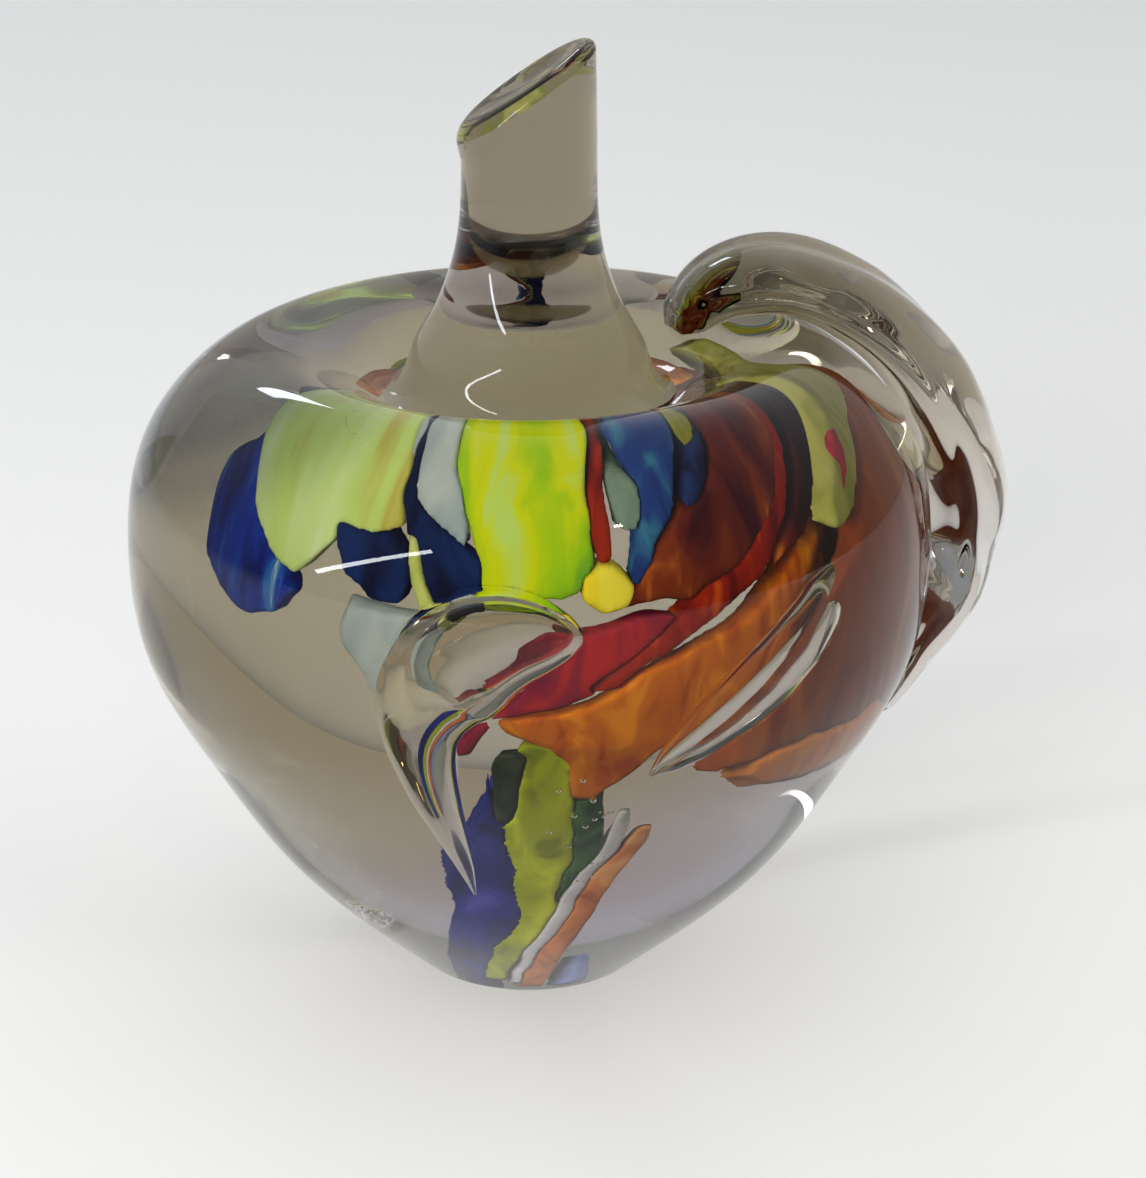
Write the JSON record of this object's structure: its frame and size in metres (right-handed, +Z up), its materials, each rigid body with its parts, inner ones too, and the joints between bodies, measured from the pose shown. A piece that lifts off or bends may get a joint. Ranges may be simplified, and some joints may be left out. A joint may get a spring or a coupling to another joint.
{
  "type": "art glass apple",
  "caption": "Solid art glass apple: clear round body over a core of coloured glass chips, with a tall sheared stem and a crimped clear leaf over one shoulder.",
  "frame": {"origin": "centre of the ground flat that the apple rests on", "axes": "+Z up the body's and stem's axis; +X towards the side with the leaf; -Y towards the side that the picture shows"},
  "size_m": [0.1113, 0.1, 0.1185],
  "materials": {
    "clear_glass": "fire polished",
    "yellow_chip": "fused inside clear glass",
    "red_band": "fused inside clear glass",
    "orange_band": "fused inside clear glass",
    "crimson_tongue": "fused inside clear glass",
    "olive_chip": "fused inside clear glass",
    "navy_wedge": "fused inside clear glass",
    "maroon_swirl": "fused inside clear glass",
    "cobalt_hook": "fused inside clear glass",
    "garnet_streak": "fused inside clear glass",
    "teal_veil": "fused inside clear glass",
    "lime_sliver": "fused inside clear glass",
    "navy_shard_right": "fused inside clear glass",
    "lime_column": "fused inside clear glass",
    "milk_blue_patch": "fused inside clear glass",
    "navy_shard_left": "fused inside clear glass",
    "pale_green_patch": "fused inside clear glass",
    "cobalt_blob": "fused inside clear glass",
    "pale_blue_veil": "fused inside clear glass",
    "white_streak": "fused inside clear glass",
    "smoke_wedge": "fused inside clear glass",
    "cobalt_lobe": "fused inside clear glass",
    "lime_lobe": "fused inside clear glass",
    "dark_green_lobe": "fused inside clear glass",
    "rust_streak": "fused inside clear glass",
    "blue_foot": "fused inside clear glass",
    "amber_chip": "fused inside clear glass",
    "rust_chip": "fused inside clear glass",
    "olive_shoulder_patch": "fused inside clear glass",
    "ruby_fleck": "fused inside clear glass",
    "orange_hem": "fused inside clear glass",
    "red_brown_flap": "fused inside clear glass",
    "pale_green_band": "fused inside clear glass"
  },
  "bodies": {
    "root": {"clear_core": "clear_glass", "clear_casing": "clear_glass", "stem": "clear_glass", "leaf": "clear_glass", "yellow_chip": "yellow_chip", "red_band": "red_band", "orange_band": "orange_band", "crimson_tongue": "crimson_tongue", "olive_chip": "olive_chip", "navy_wedge": "navy_wedge", "maroon_swirl": "maroon_swirl", "cobalt_hook": "cobalt_hook", "garnet_streak": "garnet_streak", "teal_veil": "teal_veil", "lime_sliver": "lime_sliver", "navy_shard_right": "navy_shard_right", "lime_column": "lime_column", "milk_blue_patch": "milk_blue_patch", "navy_shard_left": "navy_shard_left", "pale_green_patch": "pale_green_patch", "cobalt_blob": "cobalt_blob", "pale_blue_veil": "pale_blue_veil", "white_streak": "white_streak", "smoke_wedge": "smoke_wedge", "cobalt_lobe": "cobalt_lobe", "lime_lobe": "lime_lobe", "dark_green_lobe": "dark_green_lobe", "rust_streak": "rust_streak", "blue_foot": "blue_foot", "amber_chip": "amber_chip", "rust_chip": "rust_chip", "olive_shoulder_patch": "olive_shoulder_patch", "ruby_fleck": "ruby_fleck", "orange_hem": "orange_hem", "red_brown_flap": "red_brown_flap", "pale_green_band": "pale_green_band"}
  },
  "joints": []
}
